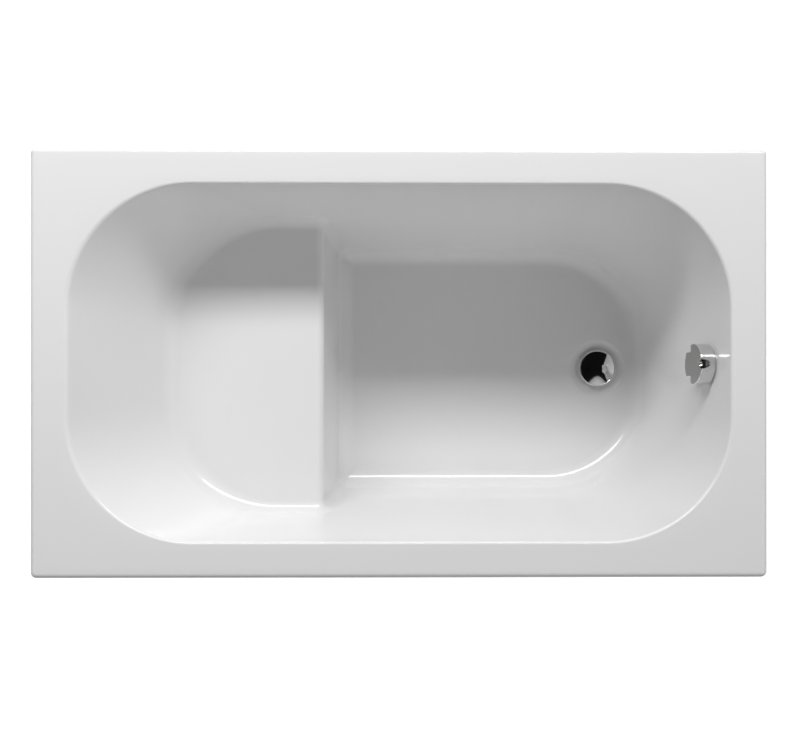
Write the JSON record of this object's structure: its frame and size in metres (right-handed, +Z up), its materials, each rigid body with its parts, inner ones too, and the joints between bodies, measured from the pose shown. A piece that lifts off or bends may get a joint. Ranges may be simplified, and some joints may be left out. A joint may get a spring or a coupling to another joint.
{
  "type": "bathtub",
  "caption": "Rectangular built-in sit bath with a seat step, sloped backrest, pop-up waste worked by an overflow knob, trap and adjustable steel frame.",
  "frame": {"origin": "centre of the bounding box on the floor that the feet stand on", "axes": "+X along the length towards the drain end, +Y towards the long side where the waste pipe leaves, +Z up"},
  "size_m": [1.2, 0.7, 0.57],
  "materials": {
    "acrylic": "high gloss inside, glassfibre laminate underneath",
    "chipboard": "raw chipboard",
    "pine": "planed softwood",
    "zinc_steel": "zinc plated square tube",
    "zinc_hardware": "bright zinc plated",
    "nylon": "moulded black",
    "chrome": "polished chrome plating",
    "stainless": "stainless",
    "brass": "turned brass",
    "rubber": "moulded black rubber",
    "white_plastic": "moulded polypropylene",
    "hose_plastic": "corrugated polyethylene",
    "cable_sheath": "extruded sheath"
  },
  "bodies": {
    "bath": {"bath_shell": "acrylic", "base_board": "chipboard", "seat_board": "chipboard", "batten_front": "pine", "batten_back": "pine", "batten_drain_end": "pine", "batten_back_end": "pine", "cross_rail_back": "zinc_steel", "cross_rail_drain": "zinc_steel", "seat_frame": "zinc_steel", "rail_screws": "zinc_hardware", "lock_nuts": "zinc_hardware", "overflow_screws": "zinc_hardware", "leg_inserts": "nylon", "rail_caps": "nylon", "cable_clips": "nylon", "drain_flange": "stainless", "overflow_flange": "stainless", "drain_seal_upper": "rubber", "drain_seal_lower": "rubber", "overflow_seal": "rubber", "trap_seal": "rubber", "trap_cup_seal": "rubber", "outlet_seal": "rubber", "drain_body": "white_plastic", "overflow_body": "white_plastic", "cable_bracket": "white_plastic", "hose_nut_upper": "white_plastic", "hose_nut_lower": "white_plastic", "trap_nut": "white_plastic", "trap_body": "white_plastic", "trap_cup": "white_plastic", "outlet_nut": "white_plastic", "waste_pipe": "white_plastic", "overflow_hose": "hose_plastic", "control_cable": "cable_sheath"},
    "knob": {"overflow_knob": "chrome", "knob_spindle": "brass", "cable_cam": "white_plastic"},
    "lift_pin": {"lift_pin": "brass"},
    "rocker": {"rocker": "brass"},
    "cable_wire": {"cable_wire": "stainless"},
    "plug": {"plug_cap": "chrome", "plug_seal": "rubber", "plug_stem": "stainless"},
    "foot_1": {"foot_stud_1": "zinc_hardware", "foot_pad_1": "nylon"},
    "foot_2": {"foot_stud_2": "zinc_hardware", "foot_pad_2": "nylon"},
    "foot_3": {"foot_stud_3": "zinc_hardware", "foot_pad_3": "nylon"},
    "foot_4": {"foot_stud_4": "zinc_hardware", "foot_pad_4": "nylon"},
    "foot_5": {"foot_stud_5": "zinc_hardware", "foot_pad_5": "nylon"},
    "foot_6": {"foot_stud_6": "zinc_hardware", "foot_pad_6": "nylon"}
  },
  "joints": [
    {"name": "knob_turn", "type": "hinge", "parent": "bath", "child": "knob", "pos_m": [0.52669, 0, 0.484], "axis": [-0.9882, 0, 0.153], "range_deg": [0, 90]},
    {"name": "rocker_turn", "type": "hinge", "parent": "bath", "child": "rocker", "pos_m": [0.40831, 0, 0.122], "axis": [0, 1, 0], "range_deg": [0, 35]},
    {"name": "pin_lift", "type": "slide", "parent": "bath", "child": "lift_pin", "axis": [0, 0, 1], "range_m": [0, 0.00902]},
    {"name": "wire_pull", "type": "slide", "parent": "bath", "child": "cable_wire", "axis": [1, 0, 0], "range_m": [0, 0.00962]},
    {"name": "plug_pull", "type": "slide", "parent": "lift_pin", "child": "plug", "axis": [0, 0, 1], "range_m": [0, 0.06]},
    {"name": "foot_1_screw", "type": "slide", "parent": "bath", "child": "foot_1", "axis": [0, 0, -1], "range_m": [-0.02, 0.025]},
    {"name": "foot_2_screw", "type": "slide", "parent": "bath", "child": "foot_2", "axis": [0, 0, -1], "range_m": [-0.02, 0.025]},
    {"name": "foot_3_screw", "type": "slide", "parent": "bath", "child": "foot_3", "axis": [0, 0, -1], "range_m": [-0.02, 0.025]},
    {"name": "foot_4_screw", "type": "slide", "parent": "bath", "child": "foot_4", "axis": [0, 0, -1], "range_m": [-0.02, 0.025]},
    {"name": "foot_5_screw", "type": "slide", "parent": "bath", "child": "foot_5", "axis": [0, 0, -1], "range_m": [-0.02, 0.025]},
    {"name": "foot_6_screw", "type": "slide", "parent": "bath", "child": "foot_6", "axis": [0, 0, -1], "range_m": [-0.02, 0.025]}
  ],
  "couplings": [
    {"joint": "rocker_turn", "follows": "knob_turn", "ratio": 0.38889},
    {"joint": "pin_lift", "follows": "knob_turn", "m_per_rad": 0.0057431},
    {"joint": "wire_pull", "follows": "knob_turn", "m_per_rad": 0.0061259}
  ]
}
